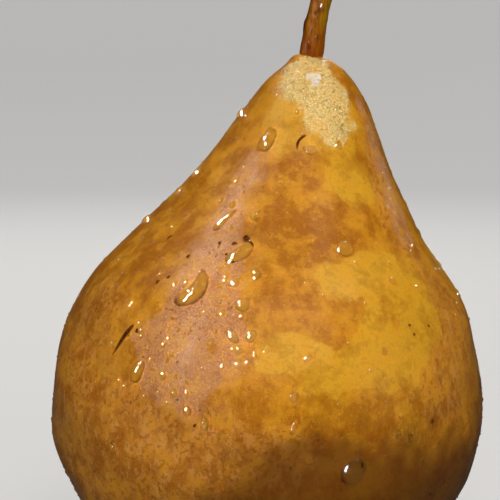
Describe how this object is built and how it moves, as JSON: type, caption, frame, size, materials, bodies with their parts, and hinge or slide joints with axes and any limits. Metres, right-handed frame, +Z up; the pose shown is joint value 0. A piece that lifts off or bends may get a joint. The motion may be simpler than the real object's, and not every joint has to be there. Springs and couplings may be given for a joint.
{
  "type": "pear",
  "caption": "Ripe golden pear with a broad belly, a leaning neck, a woody stem, a dried calyx underneath and water beads on its skin; stands on its base.",
  "frame": {"origin": "under the middle of the pear's box, on the surface that it stands on", "axes": "+Z up, from the base to the stem; the neck and the stem lean towards +X"},
  "size_m": [0.078, 0.0778, 0.119],
  "materials": {
    "skin": "golden ochre pear skin with fine russet and dark dots, wet and glossy",
    "stem": "olive brown bark with fine ridges, wet",
    "calyx": "dry dark brown sepals",
    "water": "clear water in beads and runs"
  },
  "bodies": {
    "root": {"fruit": "skin", "stem": "stem", "calyx": "calyx"}
  },
  "joints": []
}
